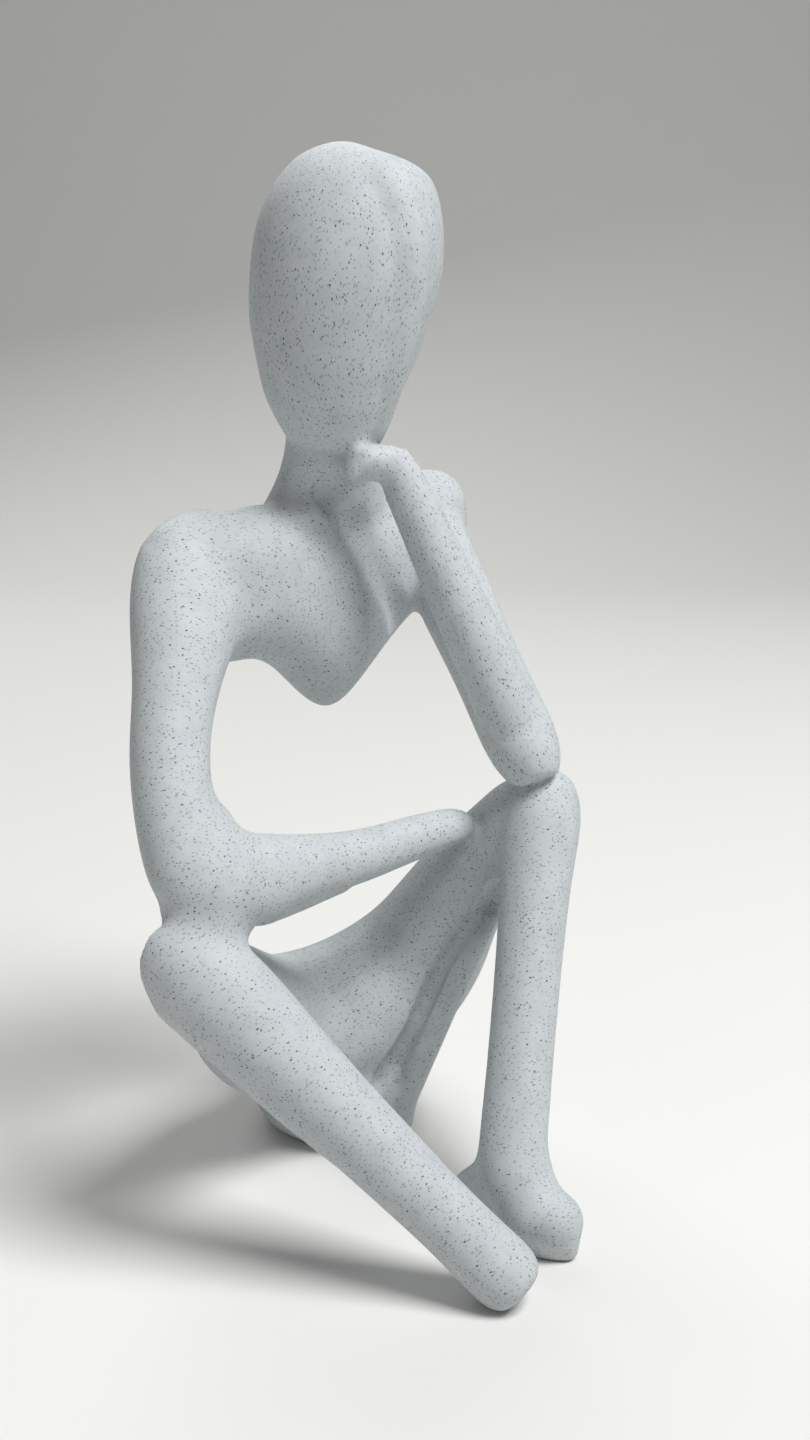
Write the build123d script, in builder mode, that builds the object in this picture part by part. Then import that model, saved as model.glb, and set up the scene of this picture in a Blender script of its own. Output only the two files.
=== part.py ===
from build123d import *
from math import radians, sin
import os

os.makedirs("parts", exist_ok=True)

# Steps from one place of the figure to the next: towards its left side, to the front and up
hip_side, hip_front, hip_rise = -1.0, 0.0, 16.5
right_knee_side, right_knee_front, right_knee_rise = -19.6, 52.0, 33.2
left_knee_side, left_knee_front, left_knee_rise = 38.1, 18.6, 49.9
left_ankle_side, left_ankle_front, left_ankle_rise = -6.4, 27.4, -53.4
left_heel_side, left_heel_front = -9.4, -12.0
left_toe_side, left_toe_front = 10.6, 7.8
right_toe_side, right_toe_front, right_toe_height = -9.8, 13.0, 2.0
right_elbow_side, right_elbow_front, right_elbow_rise = 0.0, -3.4, 15.9
left_elbow_side, left_elbow_front, left_elbow_rise = -3.3, 0.4, 11.0
right_hand_side, right_hand_front, right_hand_rise = -11.5, -1.7, -3.8
neck_side, neck_front, neck_rise = -0.8, 1.0, 90.5
right_shoulder_side, right_shoulder_front, right_shoulder_rise = -18.6, 22.6, -5.4
left_shoulder_side, left_shoulder_front, left_shoulder_rise = 20.1, -12.5, 7.5
chin_side, chin_front, chin_rise = 4.8, 13.0, 19.8
crown_front, crown_rise = -5.5, 52.2
neck_top_side, neck_top_front, neck_top_rise = 2.8, 11.0, 31.0
left_wrist_side, left_wrist_front, left_wrist_rise = 8.2, 2.6, -0.3
left_hand_side, left_hand_front, left_hand_rise = -6.0, 2.0, -0.5

# Sizes of the forms
head_width = 32.2
head_depth = 35.0
neck_width = 16.0
neck_depth = 16.0
chest_height = 38.0
chest_depth = 16.0
right_arm_width = 13.0
armpit_bend = 5.5
inner_elbow_bend = 5.0
left_upper_arm_width = 12.6
left_forearm_width = 9.8
left_hand_width = 6.0
right_leg_width = 13.2
left_leg_width = 11.6
knee_cap = 6.6
lap_width = 27.0
lap_depth = 31.0
crotch_bend = 6.0
pelvis_width = 34.0
pelvis_length = 40.0
pelvis_height = 34.0
left_sole_width = 12.0

# Dowels and pins in the joints between the sections
neck_dowel_diameter, neck_dowel_length = 5.0, 12.0
shoulder_dowel_diameter, shoulder_dowel_length = 4.0, 10.0
elbow_dowel_diameter, elbow_dowel_length = 3.6, 8.0
hip_dowel_diameter, hip_dowel_length = 6.0, 14.0
knee_dowel_diameter, knee_dowel_length = 4.0, 9.0
rest_pin_diameter, rest_pin_length = 2.4, 6.0
hand_pin_diameter, hand_pin_length = 2.0, 5.0
dowel_clearance = 0.15
dowel_end_gap = 0.4
dowel_chamfer = 0.4

# Shares along each form, from its first end to its last: along, then the sizes and shifts there
head_shares = (
    (0.02, 0.27, -0.04), (0.07, 0.48, -0.07), (0.12, 0.58, -0.07), (0.19, 0.69, -0.07), (0.31, 0.83, -0.05),
    (0.44, 0.94, -0.03), (0.57, 1.00, 0.00), (0.70, 0.99, 0.02), (0.82, 0.90, 0.04), (0.89, 0.78, 0.05),
    (0.95, 0.53, 0.01), (0.985, 0.27, -0.02),
)
round_shares = (
    (1.00, 0.00), (0.71, 0.71), (0.00, 1.00), (-0.71, 0.71),
    (-1.00, 0.00), (-0.71, -0.71), (0.00, -1.00), (0.71, -0.71),
)
head_outline_shares = (
    (1.00, 0.00), (0.71, 0.71), (0.00, 1.00), (-0.71, 0.71),
    (-1.00, 0.00), (-0.70, -0.70), (0.00, -0.98), (0.74, -0.73),
)
neck_shares = (
    (0.00, 2.70, 0.45), (0.20, 2.60, 0.86), (0.40, 1.62, 1.00), (0.60, 1.08, 0.96), (0.80, 0.98, 0.95),
    (1.00, 0.94, 0.95),
)
chest_shares = (
    (0.00, 0.44, -0.07, 0.44), (0.05, 0.60, -0.06, 0.66), (0.12, 0.66, -0.06, 0.80),
    (0.20, 0.69, -0.04, 0.92), (0.30, 0.77, 0.03, 1.00), (0.40, 0.91, 0.12, 1.00),
    (0.50, 0.99, 0.18, 1.00), (0.60, 0.92, 0.17, 1.00), (0.70, 0.80, 0.13, 1.00),
    (0.80, 0.71, 0.09, 0.98), (0.90, 0.64, 0.06, 0.95), (1.00, 0.52, 0.02, 0.90),
    (1.06, 0.39, 0.00, 0.72), (1.10, 0.22, 0.00, 0.40),
)
right_upper_arm_shares = (
    (0.00, 1.00, -0.20, 0.70), (0.075, 1.42, -0.29, 0.92), (0.15, 1.80, -0.35, 1.10),
    (0.22, 1.38, -0.14, 1.10), (0.29, 1.11, -0.10, 1.04), (0.36, 1.00, -0.09, 0.99),
    (0.42, 1.00, -0.02, 0.98), (0.48, 1.09, 0.03, 1.02), (0.545, 1.40, -0.11, 1.08),
    (0.61, 1.18, -0.04, 1.01),
)
right_forearm_shares = (
    (0.48, 1.09, 0.03, 1.02), (0.545, 1.40, -0.11, 1.08), (0.61, 1.18, -0.04, 1.01),
    (0.67, 0.94, 0.00, 0.88), (0.73, 0.78, -0.02, 0.78), (0.80, 0.67, -0.02, 0.69),
    (0.87, 0.60, 0.03, 0.60), (0.94, 0.53, 0.07, 0.52), (0.985, 0.34, 0.06, 0.32),
)
left_upper_arm_shares = (
    (0.00, 1.16), (0.25, 1.12), (0.55, 1.04), (0.82, 1.02), (1.00, 0.98),
    (1.08, 0.82), (1.14, 0.48),
)
left_forearm_shares = (
    (-0.14, 0.36), (-0.09, 0.70), (0.00, 0.95), (0.20, 1.04), (0.50, 0.98),
    (0.80, 0.84), (0.95, 0.72), (1.02, 0.55),
)
left_hand_shares = ((-0.15, 0.80), (0.40, 1.00), (0.85, 0.90), (1.05, 0.62))
lap_shares = (
    (0.000, 0.36, 0.00, 0.00, 0.00), (0.014, 0.66, 0.00, 0.00, 0.00), (0.030, 0.87, 0.00, 0.00, 0.00),
    (0.050, 1.00, 0.04, 0.00, 0.02), (0.10, 1.00, 0.14, 0.02, 0.05), (0.18, 1.00, 0.34, 0.08, 0.06),
    (0.26, 1.00, 0.58, 0.28, 0.05), (0.34, 1.00, 0.80, 0.58, 0.02), (0.42, 1.00, 0.95, 0.86, -0.02),
    (0.50, 1.00, 1.00, 1.00, -0.05), (0.58, 1.00, 0.90, 0.90, -0.04), (0.66, 1.00, 0.66, 0.66, 0.01),
    (0.74, 1.00, 0.42, 0.38, 0.07), (0.82, 1.00, 0.26, 0.18, 0.09), (0.90, 1.00, 0.14, 0.06, 0.07),
    (0.950, 1.00, 0.06, 0.00, 0.02), (0.970, 0.87, 0.00, 0.00, 0.00), (0.986, 0.66, 0.00, 0.00, 0.00),
    (1.000, 0.36, 0.00, 0.00, 0.00),
)
right_shin_shares = (
    (-0.12, 0.54), (-0.085, 0.98), (-0.03, 1.20), (0.05, 1.27), (0.15, 1.25), (0.28, 1.13), (0.46, 0.98),
    (0.64, 0.88), (0.80, 0.83), (0.90, 0.85), (0.945, 0.84), (0.975, 0.74), (0.992, 0.50),
)
left_shin_shares = (
    (-0.11, 0.55), (-0.07, 0.94), (0.00, 1.16), (0.14, 1.12), (0.30, 1.02), (0.48, 0.97), (0.66, 0.95),
    (0.84, 0.96), (1.00, 0.96), (1.08, 0.80),
)
pelvis_shares = (
    (0.00, 0.68), (0.05, 0.81), (0.12, 0.91), (0.25, 0.99), (0.42, 1.00), (0.62, 0.90), (0.80, 0.70),
    (0.93, 0.42),
)
left_foot_shares = (
    (0.00, 0.96, 0.96), (0.15, 1.00, 1.00), (0.35, 0.94, 1.00), (0.70, 0.66, 0.95), (1.10, 0.42, 0.90),
)
knee_share = 1.14
lap_middle_share = 0.50
armpit_reach_share = 1.04
elbow_reach_share = 0.62
arm_root_share = 0.37
neck_dowel_share = 0.60
left_arm_root_share = 0.06
right_hip_seam_share = 0.30
left_hip_seam_share = 0.70
right_shoulder_seam_share = 0.29
right_elbow_seam_share = 0.545
left_shoulder_seam_share = 0.20
left_shoulder_tilt_share = 1.20
hand_rest_share = 0.87
right_rest_share = 0.49
left_rest_share = 0.56


def step(start, side, front, rise):
    return start + Vector(side, -front, rise)


def bend_corner(before, joint, after, radius):
    back = (before - joint).normalized()
    onward = (after - joint).normalized()
    inward = (back + onward).normalized()
    half_angle = back.get_angle(onward) / 2
    return joint - inward * (radius / sin(radians(half_angle)) - radius)


def bend_seam(before, joint, after):
    return Plane(joint, z_dir=(after - joint).normalized() - (before - joint).normalized())


def path_seam(path, along):
    return Plane(path @ along, z_dir=path % along)


def ring(plane, width, depth, outline=round_shares):
    with BuildSketch(plane) as section:
        with BuildLine():
            Spline(*[(width / 2 * x, depth / 2 * y) for x, y in outline], periodic=True)
        make_face()
    return section.sketch


def rings_on_line(start, end, across, width, shares):
    axis = end - start
    return [
        ring(Plane(start + axis * along, x_dir=across, z_dir=axis), width * wide, width * wide)
        for along, wide in shares
    ]


def rings_on_path(path, hinge, width, shares):
    rings = []
    for along, tall, shift, deep in shares:
        plane = Plane(path @ along, x_dir=hinge, z_dir=path % along)
        middle = plane.origin + plane.y_dir * (width * shift)
        rings.append(ring(Plane(middle, x_dir=hinge, z_dir=plane.z_dir), width * deep, width * tall))
    return rings


def rings_on_sole(heel, toe, ankle, width, shares):
    sole = toe - heel
    arch = (heel + toe) / 2
    rings = []
    for level, long, wide in shares:
        section = Plane(arch + (ankle - arch) * level, x_dir=sole, z_dir=(0, 0, 1))
        rings.append(ring(section, sole.length * long, width * wide))
    return rings


def rest_seat(knee, elbow, along):
    return Plane(knee + (elbow - knee) * along, z_dir=elbow - knee)


def half(form, seam):
    return split(form, bisect_by=seam, keep=Keep.BOTTOM, mode=Mode.PRIVATE)


def bore(seat, diameter, length):
    with Locations(seat.location):
        Cylinder(diameter / 2 + dowel_clearance, length + 2 * dowel_end_gap, mode=Mode.SUBTRACT)


def peg(seat, diameter, length):
    with BuildPart(mode=Mode.PRIVATE) as dowel:
        Cylinder(diameter / 2, length)
        chamfer(dowel.edges().filter_by(GeomType.CIRCLE), dowel_chamfer)
    add(seat.location * dowel.part)


seat_middle = Vector(0, 0, 0)
hip = step(seat_middle, hip_side, hip_front, hip_rise)
right_knee = step(hip, right_knee_side, right_knee_front, right_knee_rise)
left_knee = step(hip, left_knee_side, left_knee_front, left_knee_rise)
left_ankle = step(left_knee, left_ankle_side, left_ankle_front, left_ankle_rise)
left_heel = step(Vector(left_ankle.X, left_ankle.Y, 0), left_heel_side, left_heel_front, 0)
left_toe = step(Vector(left_ankle.X, left_ankle.Y, 0), left_toe_side, left_toe_front, 0)
right_toe = step(left_toe, right_toe_side, right_toe_front, right_toe_height)
right_elbow = step(right_knee, right_elbow_side, right_elbow_front, right_elbow_rise)
left_elbow = step(left_knee, left_elbow_side, left_elbow_front, left_elbow_rise)
right_hand = step(left_knee, right_hand_side, right_hand_front, right_hand_rise)
neck_base = step(hip, neck_side, neck_front, neck_rise)
neck_top = step(neck_base, neck_top_side, neck_top_front, neck_top_rise)
right_shoulder = step(neck_base, right_shoulder_side, right_shoulder_front, right_shoulder_rise)
left_shoulder = step(neck_base, left_shoulder_side, left_shoulder_front, left_shoulder_rise)
chin = step(neck_base, chin_side, chin_front, chin_rise)
crown = step(chin, 0, crown_front, crown_rise)
left_wrist = step(chin, left_wrist_side, left_wrist_front, left_wrist_rise)
left_hand = step(left_wrist, left_hand_side, left_hand_front, left_hand_rise)

# Head
with BuildPart() as head_form:
    head_axis = crown - chin
    rings = []
    for along, wide, shift in head_shares:
        middle = chin + head_axis * along + Vector(head_width * shift, 0, 0)
        rings.append(ring(Plane(middle), head_width * wide, head_depth * wide, head_outline_shares))
    loft([Vertex(chin)] + rings + [Vertex(crown)])

# Chest with both shoulders
shoulder_axis = left_shoulder - right_shoulder
with BuildPart() as chest_form:
    rings = []
    for along, tall, drop, deep in chest_shares:
        middle = right_shoulder + shoulder_axis * along - Vector(0, 0, chest_height * drop)
        section = Plane(middle, x_dir=Vector(0, 0, 1), z_dir=Vector(shoulder_axis.X, shoulder_axis.Y, 0))
        rings.append(ring(section, chest_height * tall, chest_depth * deep))
    loft(rings)

# Neck
with BuildPart() as neck_form:
    neck_axis = neck_top - neck_base
    rings = [
        ring(
            Plane(neck_base + neck_axis * along, x_dir=shoulder_axis, z_dir=neck_axis),
            neck_width * wide, neck_depth * deep,
        )
        for along, wide, deep in neck_shares
    ]
    loft(rings)

# Lap: both thighs in one smooth bend from knee to knee
lap_hinge = (right_knee - hip).cross(left_knee - hip)
lap_bend = crotch_bend + lap_depth / 2
lap_corner = bend_corner(right_knee, hip, left_knee, lap_bend)
right_thigh_axis = (right_knee - lap_corner).normalized()
left_thigh_axis = (left_knee - lap_corner).normalized()
with BuildLine() as lap_line:
    FilletPolyline(
        right_knee + right_thigh_axis * knee_cap, lap_corner, left_knee + left_thigh_axis * knee_cap,
        radius=lap_bend,
    )
lap_path = lap_line.wires()[0]
right_rest_seat = rest_seat(right_knee, right_elbow, right_rest_share)
left_rest_seat = rest_seat(left_knee, left_elbow, left_rest_share)
lap_middle = path_seam(lap_path, lap_middle_share)
with BuildPart() as lap_form:
    rings = []
    for along, cap, swell, bulge, slide in lap_shares:
        knee_width = knee_share * (right_leg_width if along < lap_middle_share else left_leg_width)
        wide = knee_width + (lap_width - knee_width) * swell
        deep = knee_width + (lap_depth - knee_width) * bulge
        middle = lap_path @ along + lap_hinge.normalized() * (lap_width * slide)
        section = Plane(middle, x_dir=lap_hinge, z_dir=lap_path % along)
        rings.append(ring(section, wide * cap, deep * cap))
    loft(rings)
    split(bisect_by=Plane.XY, keep=Keep.TOP)

# Right leg, folded at the knee
right_knee_hinge = (hip - right_knee).cross(right_toe - right_knee)
right_knee_seam = bend_seam(lap_corner, right_knee, right_toe)
with BuildPart() as right_thigh_form:
    add(lap_form.part)
    split(bisect_by=lap_middle, keep=Keep.BOTTOM)
    split(bisect_by=right_knee_seam, keep=Keep.BOTTOM)
    split(bisect_by=right_rest_seat, keep=Keep.BOTTOM)
with BuildPart() as right_shin_form:
    loft(
        rings_on_line(right_knee, right_toe, right_knee_hinge, right_leg_width, right_shin_shares)
        + [Vertex(right_toe)]
    )
    split(bisect_by=right_knee_seam, keep=Keep.TOP)
    split(bisect_by=right_rest_seat, keep=Keep.BOTTOM)
    split(bisect_by=Plane.XY, keep=Keep.TOP)

# Left leg, folded at the knee, with its foot
left_knee_hinge = (hip - left_knee).cross(left_ankle - left_knee)
left_knee_seam = bend_seam(lap_corner, left_knee, left_ankle)
with BuildPart() as left_thigh_form:
    add(lap_form.part)
    split(bisect_by=lap_middle, keep=Keep.TOP)
    split(bisect_by=left_knee_seam, keep=Keep.BOTTOM)
    split(bisect_by=left_rest_seat, keep=Keep.BOTTOM)
with BuildPart() as left_shin_form:
    loft(rings_on_line(left_knee, left_ankle, left_knee_hinge, left_leg_width, left_shin_shares))
    split(bisect_by=left_knee_seam, keep=Keep.TOP)
    split(bisect_by=left_rest_seat, keep=Keep.BOTTOM)
    loft(rings_on_sole(left_heel, left_toe, left_ankle, left_sole_width, left_foot_shares))
    split(bisect_by=Plane.XY, keep=Keep.TOP)

# Pelvis with a flat seat
with BuildPart() as pelvis_form:
    rings = [
        ring(Plane((0, 0, pelvis_height * level)), pelvis_width * wide, pelvis_length * wide)
        for level, wide in pelvis_shares
    ]
    loft(rings + [Vertex(0, 0, pelvis_height)])

# Right arm in one line from inside the chest, bent at the shoulder and the elbow, to the hand
arm_root = right_shoulder + shoulder_axis * arm_root_share
shoulder_bend = armpit_bend + right_arm_width * armpit_reach_share
elbow_bend = inner_elbow_bend + right_arm_width * elbow_reach_share
right_shoulder_corner = bend_corner(arm_root, right_shoulder, right_elbow, shoulder_bend)
right_elbow_corner = bend_corner(right_shoulder, right_elbow, right_hand, elbow_bend)
right_elbow_hinge = (right_shoulder - right_elbow).cross(right_hand - right_elbow)
with BuildLine() as right_arm_line:
    FilletPolyline(
        arm_root, right_shoulder_corner, right_elbow_corner, right_hand, radius=[shoulder_bend, elbow_bend]
    )
right_arm_path = right_arm_line.wires()[0]
right_shoulder_seam = path_seam(right_arm_path, right_shoulder_seam_share)
right_elbow_seam = path_seam(right_arm_path, right_elbow_seam_share)
with BuildPart() as right_upper_arm_form:
    loft(rings_on_path(right_arm_path, right_elbow_hinge, right_arm_width, right_upper_arm_shares))
    split(bisect_by=right_elbow_seam, keep=Keep.BOTTOM)
    split(bisect_by=right_rest_seat, keep=Keep.TOP)
with BuildPart() as right_forearm_form:
    loft(
        rings_on_path(right_arm_path, right_elbow_hinge, right_arm_width, right_forearm_shares)
        + [Vertex(right_hand)]
    )
    split(bisect_by=right_elbow_seam, keep=Keep.TOP)
    split(bisect_by=right_rest_seat, keep=Keep.TOP)
    add(left_thigh_form.part, mode=Mode.SUBTRACT)

# Left arm, folded at the elbow, with the hand under the chin
left_elbow_hinge = (left_shoulder - left_elbow).cross(left_wrist - left_elbow)
left_elbow_seam = bend_seam(left_shoulder, left_elbow, left_wrist)
left_arm_root = left_shoulder - shoulder_axis * left_arm_root_share
with BuildPart() as left_arm:
    loft(
        rings_on_line(
            left_arm_root, left_elbow, left_elbow_hinge, left_upper_arm_width, left_upper_arm_shares
        )
    )
    loft(rings_on_line(left_elbow, left_wrist, left_elbow_hinge, left_forearm_width, left_forearm_shares))
    loft(rings_on_line(left_wrist, left_hand, left_elbow_hinge, left_hand_width, left_hand_shares))
    split(bisect_by=left_rest_seat, keep=Keep.TOP)
    add(head_form.part, mode=Mode.SUBTRACT)

# Section planes and the places of the dowels and pins
right_hip_seam = Plane(lap_path @ right_hip_seam_share, z_dir=lap_path % right_hip_seam_share * -1)
left_hip_seam = path_seam(lap_path, left_hip_seam_share)
left_arm_axis = left_elbow - left_shoulder
across_chest = shoulder_axis.normalized()
left_shoulder_seam = Plane(
    left_shoulder + left_arm_axis * left_shoulder_seam_share,
    z_dir=left_arm_axis.normalized() + across_chest * left_shoulder_tilt_share,
)
neck_seat = Plane(neck_base + neck_axis * neck_dowel_share, z_dir=neck_axis)
left_shoulder_seat = Plane(left_shoulder_seam.origin, z_dir=left_arm_axis)
left_forearm_axis = left_wrist - left_elbow
left_fold = (left_forearm_axis.normalized() - left_arm_axis.normalized()).normalized()
left_elbow_seat = Plane(left_elbow + left_fold * elbow_dowel_length, z_dir=left_elbow_seam.z_dir)
left_thigh_spot = lap_corner + (left_knee - lap_corner) * hand_rest_share
right_hand_seat = Plane(right_hand, z_dir=left_thigh_spot - right_hand)
left_hand_seat = Plane(left_hand + head_axis.normalized() * hand_pin_length / 2, z_dir=head_axis)

# Trunk with the left upper arm, before it is cut into sections
with BuildPart() as trunk:
    add(chest_form.part)
    add(neck_form.part)
    add(half(right_upper_arm_form.part, right_shoulder_seam))
    add(half(left_arm.part, left_elbow_seam))
    add(head_form.part, mode=Mode.SUBTRACT)

# Sections
with BuildPart() as head:
    add(head_form.part)
    bore(neck_seat, neck_dowel_diameter, neck_dowel_length)
    bore(left_hand_seat, hand_pin_diameter, hand_pin_length)
head.part.label = "head"
export_step(head.part, "parts/head.step")

with BuildPart() as torso:
    add(trunk.part)
    split(bisect_by=left_shoulder_seam, keep=Keep.BOTTOM)
    bore(neck_seat, neck_dowel_diameter, neck_dowel_length)
    bore(right_shoulder_seam, shoulder_dowel_diameter, shoulder_dowel_length)
    bore(left_shoulder_seat, shoulder_dowel_diameter, shoulder_dowel_length)
torso.part.label = "torso"
export_step(torso.part, "parts/torso.step")

with BuildPart() as right_upper_arm:
    add(right_upper_arm_form.part)
    split(bisect_by=right_shoulder_seam, keep=Keep.TOP)
    bore(right_shoulder_seam, shoulder_dowel_diameter, shoulder_dowel_length)
    bore(right_elbow_seam, elbow_dowel_diameter, elbow_dowel_length)
    bore(right_rest_seat, rest_pin_diameter, rest_pin_length)
right_upper_arm.part.label = "right_upper_arm"
export_step(right_upper_arm.part, "parts/right_upper_arm.step")

with BuildPart() as right_forearm:
    add(right_forearm_form.part)
    bore(right_elbow_seam, elbow_dowel_diameter, elbow_dowel_length)
    bore(right_rest_seat, rest_pin_diameter, rest_pin_length)
    bore(right_hand_seat, hand_pin_diameter, hand_pin_length)
right_forearm.part.label = "right_forearm"
export_step(right_forearm.part, "parts/right_forearm.step")

with BuildPart() as left_upper_arm:
    add(trunk.part)
    split(bisect_by=left_shoulder_seam, keep=Keep.TOP)
    bore(left_shoulder_seat, shoulder_dowel_diameter, shoulder_dowel_length)
    bore(left_elbow_seat, elbow_dowel_diameter, elbow_dowel_length)
    bore(left_rest_seat, rest_pin_diameter, rest_pin_length)
left_upper_arm.part.label = "left_upper_arm"
export_step(left_upper_arm.part, "parts/left_upper_arm.step")

with BuildPart() as left_forearm:
    add(left_arm.part)
    split(bisect_by=left_elbow_seam, keep=Keep.TOP)
    bore(left_elbow_seat, elbow_dowel_diameter, elbow_dowel_length)
    bore(left_rest_seat, rest_pin_diameter, rest_pin_length)
    bore(left_hand_seat, hand_pin_diameter, hand_pin_length)
left_forearm.part.label = "left_forearm"
export_step(left_forearm.part, "parts/left_forearm.step")

with BuildPart() as pelvis:
    add(right_thigh_form.part)
    split(bisect_by=right_hip_seam, keep=Keep.BOTTOM)
    add(half(left_thigh_form.part, left_hip_seam))
    add(pelvis_form.part)
    bore(right_hip_seam, hip_dowel_diameter, hip_dowel_length)
    bore(left_hip_seam, hip_dowel_diameter, hip_dowel_length)
pelvis.part.label = "pelvis"
export_step(pelvis.part, "parts/pelvis.step")

with BuildPart() as right_thigh:
    add(right_thigh_form.part)
    split(bisect_by=right_hip_seam, keep=Keep.TOP)
    bore(right_hip_seam, hip_dowel_diameter, hip_dowel_length)
    bore(right_knee_seam, knee_dowel_diameter, knee_dowel_length)
    bore(right_rest_seat, rest_pin_diameter, rest_pin_length)
right_thigh.part.label = "right_thigh"
export_step(right_thigh.part, "parts/right_thigh.step")

with BuildPart() as right_shin:
    add(right_shin_form.part)
    bore(right_knee_seam, knee_dowel_diameter, knee_dowel_length)
    bore(right_rest_seat, rest_pin_diameter, rest_pin_length)
right_shin.part.label = "right_shin"
export_step(right_shin.part, "parts/right_shin.step")

with BuildPart() as left_thigh:
    add(left_thigh_form.part)
    split(bisect_by=left_hip_seam, keep=Keep.TOP)
    bore(left_hip_seam, hip_dowel_diameter, hip_dowel_length)
    bore(left_knee_seam, knee_dowel_diameter, knee_dowel_length)
    bore(left_rest_seat, rest_pin_diameter, rest_pin_length)
    bore(right_hand_seat, hand_pin_diameter, hand_pin_length)
left_thigh.part.label = "left_thigh"
export_step(left_thigh.part, "parts/left_thigh.step")

with BuildPart() as left_shin:
    add(left_shin_form.part)
    bore(left_knee_seam, knee_dowel_diameter, knee_dowel_length)
    bore(left_rest_seat, rest_pin_diameter, rest_pin_length)
left_shin.part.label = "left_shin"
export_step(left_shin.part, "parts/left_shin.step")

# Dowels and pins
with BuildPart() as neck_dowel:
    peg(neck_seat, neck_dowel_diameter, neck_dowel_length)
neck_dowel.part.label = "neck_dowel"
export_step(neck_dowel.part, "parts/neck_dowel.step")

with BuildPart() as shoulder_dowels:
    peg(right_shoulder_seam, shoulder_dowel_diameter, shoulder_dowel_length)
    peg(left_shoulder_seat, shoulder_dowel_diameter, shoulder_dowel_length)
shoulder_dowels.part.label = "shoulder_dowels"
export_step(shoulder_dowels.part, "parts/shoulder_dowels.step")

with BuildPart() as elbow_dowels:
    peg(right_elbow_seam, elbow_dowel_diameter, elbow_dowel_length)
    peg(left_elbow_seat, elbow_dowel_diameter, elbow_dowel_length)
elbow_dowels.part.label = "elbow_dowels"
export_step(elbow_dowels.part, "parts/elbow_dowels.step")

with BuildPart() as hip_dowels:
    peg(right_hip_seam, hip_dowel_diameter, hip_dowel_length)
    peg(left_hip_seam, hip_dowel_diameter, hip_dowel_length)
hip_dowels.part.label = "hip_dowels"
export_step(hip_dowels.part, "parts/hip_dowels.step")

with BuildPart() as knee_dowels:
    peg(right_knee_seam, knee_dowel_diameter, knee_dowel_length)
    peg(left_knee_seam, knee_dowel_diameter, knee_dowel_length)
knee_dowels.part.label = "knee_dowels"
export_step(knee_dowels.part, "parts/knee_dowels.step")

with BuildPart() as elbow_rest_pins:
    peg(right_rest_seat, rest_pin_diameter, rest_pin_length)
    peg(left_rest_seat, rest_pin_diameter, rest_pin_length)
elbow_rest_pins.part.label = "elbow_rest_pins"
export_step(elbow_rest_pins.part, "parts/elbow_rest_pins.step")

with BuildPart() as hand_pins:
    peg(right_hand_seat, hand_pin_diameter, hand_pin_length)
    peg(left_hand_seat, hand_pin_diameter, hand_pin_length)
hand_pins.part.label = "hand_pins"
export_step(hand_pins.part, "parts/hand_pins.step")
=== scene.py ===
from math import atan, pi

import bmesh
import bpy
import numpy as np
from mathutils import Matrix, Vector
from mathutils.bvhtree import BVHTree


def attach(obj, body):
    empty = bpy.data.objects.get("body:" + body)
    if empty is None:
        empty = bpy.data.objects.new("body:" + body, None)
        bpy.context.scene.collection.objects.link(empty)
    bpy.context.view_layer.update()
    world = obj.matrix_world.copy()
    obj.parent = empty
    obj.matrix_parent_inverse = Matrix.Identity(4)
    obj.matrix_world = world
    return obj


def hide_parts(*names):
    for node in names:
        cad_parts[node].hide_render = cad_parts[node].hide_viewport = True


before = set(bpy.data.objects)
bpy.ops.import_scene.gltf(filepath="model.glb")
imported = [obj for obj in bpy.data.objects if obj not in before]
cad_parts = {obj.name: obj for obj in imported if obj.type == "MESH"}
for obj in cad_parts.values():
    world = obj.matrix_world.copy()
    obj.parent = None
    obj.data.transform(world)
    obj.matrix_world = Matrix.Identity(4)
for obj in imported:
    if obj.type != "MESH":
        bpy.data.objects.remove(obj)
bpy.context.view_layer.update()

MM = 0.001

# Sections of the figure, with the way their flecks run
SECTIONS = {
    "head": (0.10, 0.0, 1.0),
    "torso": (1.0, 0.3, 0.0),
    "right_upper_arm": (1.0, 0.3, 0.0),
    "right_forearm": (1.0, 0.6, 0.55),
    "left_upper_arm": (1.0, 0.3, 0.2),
    "left_forearm": (0.6, 0.0, -1.0),
    "pelvis": (1.0, 0.4, 0.1),
    "right_thigh": (1.0, 0.4, 0.5),
    "right_shin": (1.0, 0.3, 0.6),
    "left_thigh": (1.0, 0.2, 0.3),
    "left_shin": (1.0, 0.2, 0.1),
}

# Skin: grid of the merged surface, and how often it is smoothed
VOXEL = 0.55 * MM
EVEN_ROUNDS = 10
FILL_ROUNDS = 30
FILL_STRENGTH = 0.5
EVEN_STRENGTH = 0.5
EVEN_BACK_STRENGTH = 0.53
SETTLE_ROUNDS = 12
SECTION_REACH = 6 * MM
LIP = 0.5 * MM

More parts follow.
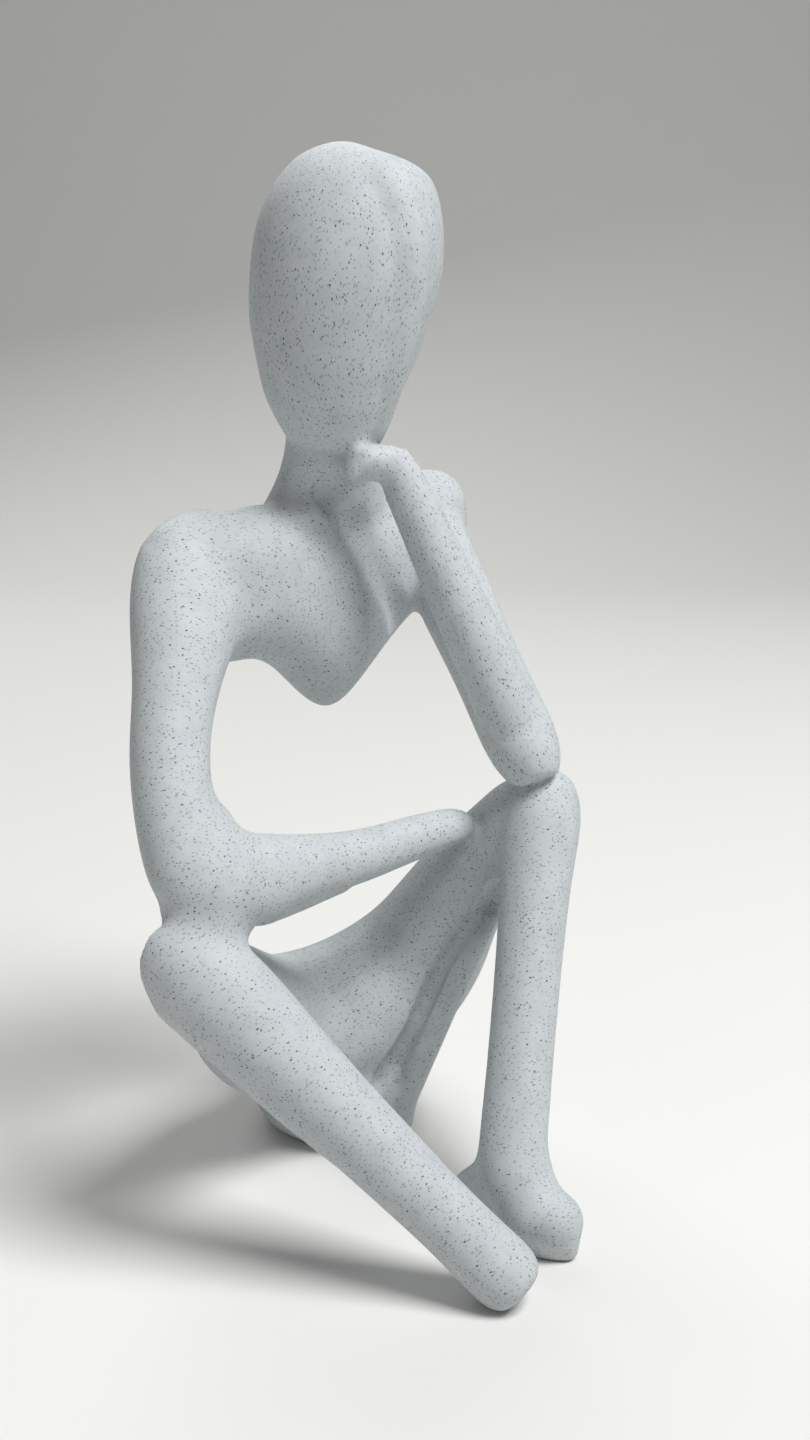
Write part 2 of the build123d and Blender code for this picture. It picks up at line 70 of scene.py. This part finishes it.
# Soft forms laid over the solids before they are smoothed: centres and radii in millimetres
FORMS = {
    "hand": (
        ((5.2, -19.2, 128.2), 2.2),
        ((4.6, -19.2, 125.2), 1.9),
    ),
    "thigh_rim": (
        ((28.1, -16.0, 46.2), 2.3),
        ((24.2, -15.5, 37.7), 2.6),
        ((20.2, -15.5, 28.6), 2.6),
        ((16.6, -15.5, 19.8), 2.6),
        ((12.9, -13.0, 9.4), 2.6),
        ((12.0, -11.5, 4.0), 2.6),
    ),
    "elbow_on_knee": (
        ((-22.8, -51.0, 58.6), 2.6),
        ((-20.0, -52.0, 57.5), 4.2),
        ((-16.0, -50.5, 56.5), 4.2),
        ((-13.5, -48.0, 56.0), 3.0),
    ),
    "right_forearm_edge": (
        ((-15.7, -46.0, 56.7), 2.8),
        ((-10.1, -42.0, 55.8), 2.8),
        ((-4.2, -38.0, 56.9), 2.6),
        ((2.2, -34.0, 58.2), 2.2),
    ),
    "right_calf": (
        ((-21.6, -55.0, 46.2), 5.0),
        ((-12.4, -56.8, 38.7), 5.1),
        ((-3.2, -58.5, 31.1), 5.2),
        ((6.1, -60.3, 23.6), 4.9),
        ((15.3, -62.0, 16.0), 4.4),
    ),
    "right_shoulder": (
        ((-25.6, -23.5, 113.0), 3.3),
        ((-21.5, -21.5, 113.8), 3.4),
        ((-18.5, -19.5, 114.7), 3.5),
        ((-14.0, -15.0, 115.2), 3.3),
    ),
    "left_ankle": (
        ((31.5, -42.6, 20.0), 5.4),
        ((31.2, -44.8, 15.0), 5.7),
        ((32.0, -46.8, 10.0), 6.0),
        ((34.0, -49.5, 6.5), 5.8),
        ((37.4, -51.5, 5.6), 5.0),
    ),
}
FORM_STEP = 0.8 * MM
BALL_SUBDIVISIONS = 3

# Shallow channels pressed into the skin: depth, then points and reach, in millimetres.
# A depth below zero raises a ridge.
CHANNELS = {
    "thigh_flute": (1.9, (
        ((30.0, -19.0, 51.0), 3.4),
        ((25.6, -15.2, 43.8), 3.8),
        ((21.2, -13.9, 35.7), 3.6),
        ((16.7, -14.6, 28.3), 3.2),
        ((12.1, -16.0, 21.1), 2.8),
        ((8.4, -16.6, 14.5), 2.4),
    )),
    "chest_groove": (1.8, (
        ((0.6, -15.0, 121.0), 3.0),
        ((4.4, -9.7, 114.3), 4.2),
        ((7.8, -8.4, 108.1), 4.4),
        ((11.3, -5.3, 100.5), 3.6),
        ((13.4, -3.6, 95.5), 3.6),
    )),
    "under_chin": (2.0, (
        ((-3.5, -14.8, 121.5), 5.0),
        ((0.0, -15.4, 121.5), 5.2),
        ((4.0, -13.5, 121.5), 5.0),
    )),
    "hand_crease": (0.8, (
        ((8.6, -22.0, 127.0), 1.3),
        ((7.4, -21.4, 123.6), 1.3),
    )),
    "head_ridge": (-1.0, (
        ((9.9, -21.1, 173.6), 3.5),
        ((12.6, -23.2, 168.7), 4.5),
        ((14.7, -23.5, 161.8), 5.0),
        ((15.0, -23.2, 155.7), 5.0),
        ((14.2, -22.0, 149.4), 5.0),
        ((12.6, -20.7, 143.1), 4.6),
        ((10.6, -17.8, 135.8), 4.0),
        ((8.0, -14.3, 130.0), 3.0),
    )),
}

# Spots whose hollows are filled: centre, reach in millimetres, rounds
FILL_SPOTS = (
    ((-17.0, -24.0, 107.0), 14.0, 200),  # right armpit
    ((-17.0, -50.0, 57.0), 11.0, 120),  # right elbow on the knee
    ((31.5, -47.0, 14.0), 12.0, 120),  # left ankle
)
REFRESH_ROUNDS = 10

# Spots that are smoothed before the channels, and after them
SOFT_SPOTS = (
    ((-16.5, -49.0, 73.5), 8.0, 60),  # bend of the right elbow
    ((4.0, -12.0, 178.0), 14.0, 120),  # crown
    ((-17.0, -51.0, 57.0), 9.0, 25),  # right elbow on the knee
    ((-25.0, -51.0, 58.5), 6.0, 15),
    ((-12.0, -43.0, 56.5), 7.0, 15),
    ((-25.0, -56.0, 47.0), 9.0, 25),  # right knee
    ((31.5, -47.0, 14.0), 12.0, 30),  # left ankle
    ((-24.0, -22.0, 116.5), 8.0, 110),  # right shoulder
    ((15.5, -2.0, 102.0), 6.0, 40),  # left armpit
    ((39.5, -52.5, 4.0), 7.0, 30),  # left toe
)
LAST_SPOTS = (
    ((8.0, -9.0, 112.0), 11.0, 40),  # chest groove
    ((10.0, -20.5, 174.0), 7.0, 40),  # start of the ridge on the head
)

# Spots whose creases stay crisp, under the chin and at the left knee: centre and reach in millimetres
CRISP_SPOTS = (((1.0, -14.0, 126.0), 12.0), ((32.0, -22.0, 73.0), 12.0))
CRISP_POWER = 3

# Print finish, in sRGB levels from 0 to 1
PRINT_COLOUR = (0.742, 0.761, 0.769)
MOTTLE_COLOUR = (0.702, 0.725, 0.737)
FLECK_COLOUR = (0.30, 0.315, 0.33)
FAINT_FLECK_COLOUR = (0.58, 0.60, 0.615)
ROUGHNESS = 0.62
SPECULAR_LEVEL = 0.35

# Flecks: cells per metre, radius as a share of a cell, share of the cells that hold one
FAINT_FLECKS = (2300.0, 0.40, 0.75)
DARK_FLECKS = (1900.0, 0.28, 0.50)
FLECK_STRETCH = (1.0, 1.0, 0.6)
FLECK_FADE = 0.7
FLECK_SIZE_RANGE = 0.6
FLECK_SIZE_LEAST = 0.5
FLECK_EDGE = (1.15, 0.55)

# Mottle, print layers and grain
MOTTLE_PER_METRE = 260.0
MOTTLE_EDGE = (0.35, 0.70)
LAYERS_PER_METRE = 900.0
GRAIN_PER_METRE = 2600.0
RELIEF_STRENGTH = 0.18
RELIEF = 0.05 * MM

# Sockets of the colour mix node
MIX_FACTOR, MIX_BELOW, MIX_ABOVE, MIX_RESULT = 0, 6, 7, 2

# Floor that sweeps up into a back wall, in metres
FLOOR_COLOUR = (0.86, 0.86, 0.85)
FLOOR_ROUGHNESS = 0.9
FLOOR_WIDTH = 6.0
FLOOR_FRONT = -3.0
FLOOR_BACK = 1.6
WALL_HEIGHT = 3.0
SWEEP_RADIUS = 0.8
SWEEP_STEPS = 24

# Lamps: place and size in metres, power in watts
LAMPS = {
    "key": ((0.50, -0.34, 1.08), 0.5, 16.0),
    "fill": ((-0.80, -0.70, 0.60), 1.0, 0.9),
    "back": ((-0.30, 0.80, 0.80), 0.8, 4.0),
}
LAMP_AIM = (0.0, 0.0, 0.09)
WORLD_COLOUR = (1.0, 1.0, 1.0, 1.0)
WORLD_STRENGTH = 0.18

# Camera, as the photograph was taken
IMAGE_HEIGHT = 1440
FOCAL_PIXELS = 1600
HORIZON_RISE_PIXELS = 335
SENSOR = 36.0
CLIP_START = 0.01
CAMERA_PLACE = Vector((13.1, -290.0, 139.1)) * MM


def linear(colour):
    """sRGB levels as the linear colour, with alpha, that the shader takes."""
    levels = [c / 12.92 if c <= 0.04045 else ((c + 0.055) / 1.055) ** 2.4 for c in colour]
    return (*levels, 1.0)


def form_balls(form):
    """Balls close together along a chain of centres and radii."""
    for (start, start_radius), (end, end_radius) in zip(form, form[1:]):
        start, end = Vector(start) * MM, Vector(end) * MM
        steps = max(1, round((end - start).length / FORM_STEP))
        for step in range(steps + 1):
            share = step / steps
            yield start.lerp(end, share), (start_radius + (end_radius - start_radius) * share) * MM


def form_mesh():
    """All the soft forms as one mesh of balls."""
    balls = bmesh.new()
    for form in FORMS.values():
        for centre, radius in form_balls(form):
            place = Matrix.Translation(centre)
            bmesh.ops.create_icosphere(balls, subdivisions=BALL_SUBDIVISIONS, radius=radius, matrix=place)
    mesh = bpy.data.meshes.new("forms")
    balls.to_mesh(mesh)
    balls.free()
    return mesh


def merged_skin():
    """One closed mesh over all sections, without the dowel holes inside."""
    skin = bpy.data.objects.new("skin", bpy.data.meshes.new("skin"))
    bpy.context.scene.collection.objects.link(skin)
    gathered = bmesh.new()
    for name in SECTIONS:
        gathered.from_mesh(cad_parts[name].data)
    gathered.from_mesh(form_mesh())
    gathered.to_mesh(skin.data)
    gathered.free()
    skin.data.remesh_voxel_size = VOXEL
    skin.data.use_remesh_fix_poles = False
    skin.data.remesh_voxel_adaptivity = 0
    bpy.context.view_layer.objects.active = skin
    skin.select_set(True)
    bpy.ops.object.voxel_remesh()
    keep_largest_shell(skin.data)
    return skin


def keep_largest_shell(mesh):
    """Takes the walls of the dowel holes away."""
    shells = bmesh.new()
    shells.from_mesh(mesh)
    shells.verts.ensure_lookup_table()
    unseen = set(shells.verts)
    found = []
    while unseen:
        start = unseen.pop()
        shell = [start]
        for vert in shell:
            for edge in vert.link_edges:
                other = edge.other_vert(vert)
                if other in unseen:
                    unseen.remove(other)
                    shell.append(other)
        found.append(shell)
    found.sort(key=len)
    for shell in found[:-1]:
        bmesh.ops.delete(shells, geom=shell, context="VERTS")
    shells.to_mesh(mesh)
    shells.free()


def read_points(mesh):
    points = np.empty(len(mesh.vertices) * 3)
    mesh.vertices.foreach_get("co", points)
    return points.reshape(-1, 3)


def write_points(mesh, points):
    mesh.vertices.foreach_set("co", points.ravel())
    mesh.update()


def vertex_normals(mesh):
    normals = np.empty(len(mesh.vertices) * 3)
    mesh.vertex_normals.foreach_get("vector", normals)
    return normals.reshape(-1, 3)


def edge_ends(mesh):
    edges = np.empty(len(mesh.edges) * 2, dtype=np.int64)
    mesh.edges.foreach_get("vertices", edges)
    return edges.reshape(-1, 2).T


def puller(first, second, size):
    """A function from the points to each point's way to the middle of its neighbours."""
    count = np.bincount(first, minlength=size) + np.bincount(second, minlength=size)

    def pull(points):
        total = np.empty_like(points)
        for axis in range(3):
            total[:, axis] = np.bincount(first, points[second, axis], size)
            total[:, axis] += np.bincount(second, points[first, axis], size)
        return total / count[:, None] - points

    return pull


def spot_parts(first, second, points, centre, reach):
    """The points of a spot, how they are pulled and how much each one may move."""
    apart = np.linalg.norm(points - np.array(centre) * MM, axis=1) / (reach * MM)
    touched = (apart[first] < 1) | (apart[second] < 1)
    members, ends = np.unique(np.concatenate([first[touched], second[touched]]), return_inverse=True)
    pull = puller(*ends.reshape(2, -1), len(members))
    return members, pull, np.clip(1 - apart[members] ** 2, 0, 1)[:, None]


def even_out(points, pull, rounds):
    """Smooths the points and pushes them back, so that the skin keeps its size."""
    for _ in range(rounds):
        points = points + EVEN_STRENGTH * pull(points)
        points = points - EVEN_BACK_STRENGTH * pull(points)
    return points


def outward_share(step, normals):
    """1 where a step leads outward, 0 elsewhere."""
    return (np.einsum("ij,ij->i", step, normals) > 0)[:, None]


def smooth_skin(mesh):
    """Evens out the grid, fills the inner creases, softens spots and presses channels."""
    first, second = edge_ends(mesh)
    pull = puller(first, second, len(mesh.vertices))
    points = even_out(read_points(mesh), pull, EVEN_ROUNDS)
    write_points(mesh, points)
    fill = np.full((len(points), 1), FILL_STRENGTH)
    for centre, reach in CRISP_SPOTS:
        apart = np.linalg.norm(points - np.array(centre) * MM, axis=1) / (reach * MM)
        fill *= np.clip(apart, 0, 1)[:, None] ** CRISP_POWER
    for _ in range(FILL_ROUNDS):
        step = pull(points)
        points = points + fill * step * outward_share(step, vertex_normals(mesh))
        write_points(mesh, points)
    for centre, reach, rounds in FILL_SPOTS:
        members, spot_pull, weight = spot_parts(first, second, points, centre, reach)
        for turn in range(rounds):
            if turn % REFRESH_ROUNDS == 0:
                write_points(mesh, points)
                normals = vertex_normals(mesh)[members]
            step = spot_pull(points[members])
            points[members] += FILL_STRENGTH * weight * step * outward_share(step, normals)
    soften(points, first, second, SOFT_SPOTS)
    for depth, line in CHANNELS.values():
        write_points(mesh, points)
        points = points - depth * MM * channel(points, line)[:, None] * vertex_normals(mesh)
    soften(points, first, second, LAST_SPOTS)
    points = even_out(points, pull, EVEN_ROUNDS)
    points[:, 2] = np.maximum(points[:, 2], 0)  # nothing goes below the floor
    write_points(mesh, points)


def soften(points, first, second, spots):
    """Smooths the points of each spot in place."""
    for centre, reach, rounds in spots:
        members, spot_pull, weight = spot_parts(first, second, points, centre, reach)
        for _ in range(rounds):
            points[members] += EVEN_STRENGTH * weight * spot_pull(points[members])


def channel(points, line):
    """How far each point lies in a channel: 1 at its bottom, 0 outside."""
    press = np.zeros(len(points))
    for (start, start_reach), (end, end_reach) in zip(line, line[1:]):
        start = np.array(start) * MM
        along = np.array(end) * MM - start
        share = np.clip((points - start) @ along / (along @ along), 0, 1)
        reach = (start_reach + (end_reach - start_reach) * share) * MM
        apart = np.linalg.norm(points - start - share[:, None] * along, axis=1)
        press = np.maximum(press, np.clip(1 - (apart / reach) ** 2, 0, 1) ** 2)
    return press


def nearest_sections(mesh):
    """For each face, the index of the section that it lies on."""
    centres = np.empty(len(mesh.polygons) * 3)
    mesh.polygons.foreach_get("center", centres)
    centres = centres.reshape(-1, 3)
    labels = np.zeros(len(centres), dtype=np.int64)
    best = np.full(len(centres), np.inf)
    for index, name in enumerate(SECTIONS):
        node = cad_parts[name]
        solid = bmesh.new()
        solid.from_mesh(node.data)
        tree = BVHTree.FromBMesh(solid)
        solid.free()
        corners = read_points(node.data)
        above = centres > corners.min(axis=0) - SECTION_REACH
        below = centres < corners.max(axis=0) + SECTION_REACH
        for face in np.nonzero((above & below).all(axis=1))[0]:
            reach = tree.find_nearest(centres[face])[3]
            if reach < best[face]:
                best[face] = reach
                labels[face] = index
    return settle(mesh, labels)


def settle(mesh, labels):
    """Takes stray faces into the section around them."""
    meets = {}
    for face in mesh.polygons:
        for edge in face.edge_keys:
            meets.setdefault(edge, []).append(face.index)
    pairs = np.array([pair for pair in meets.values() if len(pair) == 2])
    here = np.concatenate([pairs[:, 0], pairs[:, 1]])
    there = np.concatenate([pairs[:, 1], pairs[:, 0]])
    size = len(SECTIONS)
    for _ in range(SETTLE_ROUNDS):
        votes = np.bincount(here * size + labels[there], minlength=len(labels) * size)
        votes = votes.reshape(-1, size)
        votes[np.arange(len(labels)), labels] += 1
        labels = np.argmax(votes, axis=1)
    return labels


def cut_sections(skin):
    """One closed piece for each section, shaded as the whole skin is."""
    normals = [tuple(v.vector) for v in skin.data.vertex_normals]
    labels = nearest_sections(skin.data)
    pieces = {}
    for index, name in enumerate(SECTIONS):
        part = bmesh.new()
        part.from_mesh(skin.data)
        mark = part.verts.layers.int.new("whole")
        for vert in part.verts:
            vert[mark] = vert.index
        part.faces.ensure_lookup_table()
        away = [part.faces[i] for i in np.nonzero(labels != index)[0]]
        bmesh.ops.delete(part, geom=away, context="FACES")
        rim = [edge for edge in part.edges if edge.is_boundary]
        lip = bmesh.ops.extrude_edge_only(part, edges=rim)["geom"]
        for vert in (item for item in lip if isinstance(item, bmesh.types.BMVert)):
            vert.co -= LIP * Vector(normals[vert[mark]])
        rim = [edge for edge in part.edges if edge.is_boundary]
        caps = bmesh.ops.holes_fill(part, edges=rim, sides=0)["faces"]
        bmesh.ops.triangulate(part, faces=caps)
        mesh = bpy.data.meshes.new(name + "_skin")
        whole = [vert[mark] for vert in part.verts]
        part.verts.layers.int.remove(mark)
        part.to_mesh(mesh)
        part.free()
        mesh.polygons.foreach_set("use_smooth", [True] * len(mesh.polygons))
        mesh.normals_split_custom_set_from_vertices([normals[i] for i in whole])
        piece = bpy.data.objects.new(name + "_skin", mesh)
        bpy.context.scene.collection.objects.link(piece)
        pieces[name] = piece
    bpy.data.objects.remove(skin)
    return pieces


def add_node(tree, kind, settings=None, **inputs):
    """A shader node with its settings and the constants of its inputs."""
    node = tree.nodes.new(kind)
    for key, value in (settings or {}).items():
        setattr(node, key, value)
    for key, value in inputs.items():
        node.inputs[key.replace("_", " ")].default_value = value
    return node


def stone_print(name, along):
    """Pale speckled print filament; the flecks are drawn out along the extruded line."""
    material = bpy.data.materials.new(name)
    material.use_nodes = True
    tree = material.node_tree
    link = tree.links.new
    shader = tree.nodes["Principled BSDF"]
    shader.inputs["Roughness"].default_value = ROUGHNESS
    shader.inputs["Specular IOR Level"].default_value = SPECULAR_LEVEL

    where = add_node(tree, "ShaderNodeTexCoord")
    turn = add_node(tree, "ShaderNodeMapping", {"vector_type": "TEXTURE"})
    turn.inputs["Rotation"].default_value = Vector(along).to_track_quat("Z", "Y").to_euler()
    link(where.outputs["Object"], turn.inputs["Vector"])
    stretch = add_node(tree, "ShaderNodeMapping")
    stretch.inputs["Scale"].default_value = FLECK_STRETCH
    link(turn.outputs["Vector"], stretch.inputs["Vector"])

    def flecks(per_metre, radius, share):
        """Mask of flecks: a share of the cells of a random grid hold one each."""
        cells = add_node(tree, "ShaderNodeTexVoronoi", {"feature": "F1"},
                         Scale=per_metre, Randomness=1.0)
        link(stretch.outputs["Vector"], cells.inputs["Vector"])
        parts = add_node(tree, "ShaderNodeSeparateColor")
        link(cells.outputs["Color"], parts.inputs["Color"])
        chosen = add_node(tree, "ShaderNodeMapRange", None,
                          From_Min=1 - share, From_Max=1 - FLECK_FADE * share)
        link(parts.outputs["Red"], chosen.inputs["Value"])
        size = add_node(tree, "ShaderNodeMath", {"operation": "MULTIPLY_ADD"})
        size.inputs[1].default_value = FLECK_SIZE_RANGE * radius
        size.inputs[2].default_value = FLECK_SIZE_LEAST * radius
        link(parts.outputs["Green"], size.inputs[0])
        inside = add_node(tree, "ShaderNodeMath", {"operation": "DIVIDE"})
        link(cells.outputs["Distance"], inside.inputs[0])
        link(size.outputs[0], inside.inputs[1])
        soft = add_node(tree, "ShaderNodeMapRange", {"interpolation_type": "SMOOTHSTEP"},
                        From_Min=FLECK_EDGE[0], From_Max=FLECK_EDGE[1])
        link(inside.outputs[0], soft.inputs["Value"])
        mask = add_node(tree, "ShaderNodeMath", {"operation": "MULTIPLY"})
        link(soft.outputs["Result"], mask.inputs[0])
        link(chosen.outputs["Result"], mask.inputs[1])
        return mask.outputs[0]

    def mix(mask, below, colour):
        """The colour laid over what is below it, where the mask is."""
        blend = add_node(tree, "ShaderNodeMix", {"data_type": "RGBA"})
        blend.inputs[MIX_ABOVE].default_value = linear(colour)
        link(mask, blend.inputs[MIX_FACTOR])
        if isinstance(below, tuple):
            blend.inputs[MIX_BELOW].default_value = linear(below)
        else:
            link(below, blend.inputs[MIX_BELOW])
        return blend.outputs[MIX_RESULT]

    cloud = add_node(tree, "ShaderNodeTexNoise", None,
                     Scale=MOTTLE_PER_METRE, Detail=5.0, Roughness=0.6)
    link(where.outputs["Object"], cloud.inputs["Vector"])
    cloud_mask = add_node(tree, "ShaderNodeMapRange", None,
                          From_Min=MOTTLE_EDGE[0], From_Max=MOTTLE_EDGE[1])
    link(cloud.outputs["Fac"], cloud_mask.inputs["Value"])
    colour = mix(cloud_mask.outputs["Result"], PRINT_COLOUR, MOTTLE_COLOUR)
    colour = mix(flecks(*FAINT_FLECKS), colour, FAINT_FLECK_COLOUR)
    colour = mix(flecks(*DARK_FLECKS), colour, FLECK_COLOUR)
    link(colour, shader.inputs["Base Color"])

    layers = add_node(tree, "ShaderNodeTexWave", {"wave_type": "BANDS", "bands_direction": "X"},
                      Scale=LAYERS_PER_METRE, Distortion=0.6, Detail=1.0)
    link(turn.outputs["Vector"], layers.inputs["Vector"])
    grain = add_node(tree, "ShaderNodeTexNoise", None, Scale=GRAIN_PER_METRE, Detail=3.0)
    link(stretch.outputs["Vector"], grain.inputs["Vector"])
    relief = add_node(tree, "ShaderNodeMath", {"operation": "ADD"})
    link(layers.outputs["Fac"], relief.inputs[0])
    link(grain.outputs["Fac"], relief.inputs[1])
    bump = add_node(tree, "ShaderNodeBump", None, Strength=RELIEF_STRENGTH, Distance=RELIEF)
    link(relief.outputs[0], bump.inputs["Height"])
    link(bump.outputs["Normal"], shader.inputs["Normal"])
    return material


def floor_finish():
    material = bpy.data.materials.new("floor")
    material.use_nodes = True
    shader = material.node_tree.nodes["Principled BSDF"]
    shader.inputs["Base Color"].default_value = linear(FLOOR_COLOUR)
    shader.inputs["Roughness"].default_value = FLOOR_ROUGHNESS
    return material


def add_floor():
    """A pale sweep: floor, a wide curve and a back wall."""
    flat_end = FLOOR_BACK - SWEEP_RADIUS
    outline = [(FLOOR_FRONT, 0.0), (flat_end, 0.0)]
    for step in range(1, SWEEP_STEPS + 1):
        angle = step / SWEEP_STEPS * pi / 2
        rise = SWEEP_RADIUS - SWEEP_RADIUS * np.cos(angle)
        outline.append((flat_end + SWEEP_RADIUS * np.sin(angle), rise))
    outline.append((FLOOR_BACK, WALL_HEIGHT))
    verts = [(side * FLOOR_WIDTH / 2, y, z) for y, z in outline for side in (-1, 1)]
    faces = [(2 * i, 2 * i + 1, 2 * i + 3, 2 * i + 2) for i in range(len(outline) - 1)]
    mesh = bpy.data.meshes.new("floor")
    mesh.from_pydata(verts, [], faces)
    mesh.polygons.foreach_set("use_smooth", [True] * len(mesh.polygons))
    floor = bpy.data.objects.new("floor", mesh)
    bpy.context.scene.collection.objects.link(floor)
    mesh.materials.append(floor_finish())


def add_lamp(name, place, aim, size, power):
    lamp = bpy.data.lights.new(name, "AREA")
    lamp.size = size
    lamp.energy = power
    holder = bpy.data.objects.new(name, lamp)
    holder.location = place
    holder.rotation_euler = (Vector(aim) - Vector(place)).to_track_quat("-Z", "Y").to_euler()
    bpy.context.scene.collection.objects.link(holder)


def add_light():
    for name, (place, size, power) in LAMPS.items():
        add_lamp(name, place, LAMP_AIM, size, power)
    world = bpy.data.worlds.new("studio")
    world.use_nodes = True
    background = world.node_tree.nodes["Background"]
    background.inputs["Color"].default_value = WORLD_COLOUR
    background.inputs["Strength"].default_value = WORLD_STRENGTH
    bpy.context.scene.world = world


def add_camera():
    camera = bpy.data.cameras.new("camera")
    camera.sensor_width = SENSOR
    camera.lens = SENSOR * FOCAL_PIXELS / IMAGE_HEIGHT
    camera.clip_start = CLIP_START
    holder = bpy.data.objects.new("camera", camera)
    holder.location = CAMERA_PLACE
    holder.rotation_euler = (pi / 2 - atan(HORIZON_RISE_PIXELS / FOCAL_PIXELS), 0.0, 0.0)
    bpy.context.scene.collection.objects.link(holder)
    bpy.context.scene.camera = holder


skin = merged_skin()
smooth_skin(skin.data)
for name, piece in cut_sections(skin).items():
    piece.data.materials.append(stone_print(name + "_print", SECTIONS[name]))
    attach(piece, "root")
    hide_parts(name)

dowel_material = stone_print("dowel_print", (0.0, 0.0, 1.0))
for name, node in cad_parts.items():
    if name not in SECTIONS:
        node.data.materials.clear()
        node.data.materials.append(dowel_material)

add_floor()
add_light()
add_camera()
bpy.context.scene.view_settings.view_transform = "Standard"
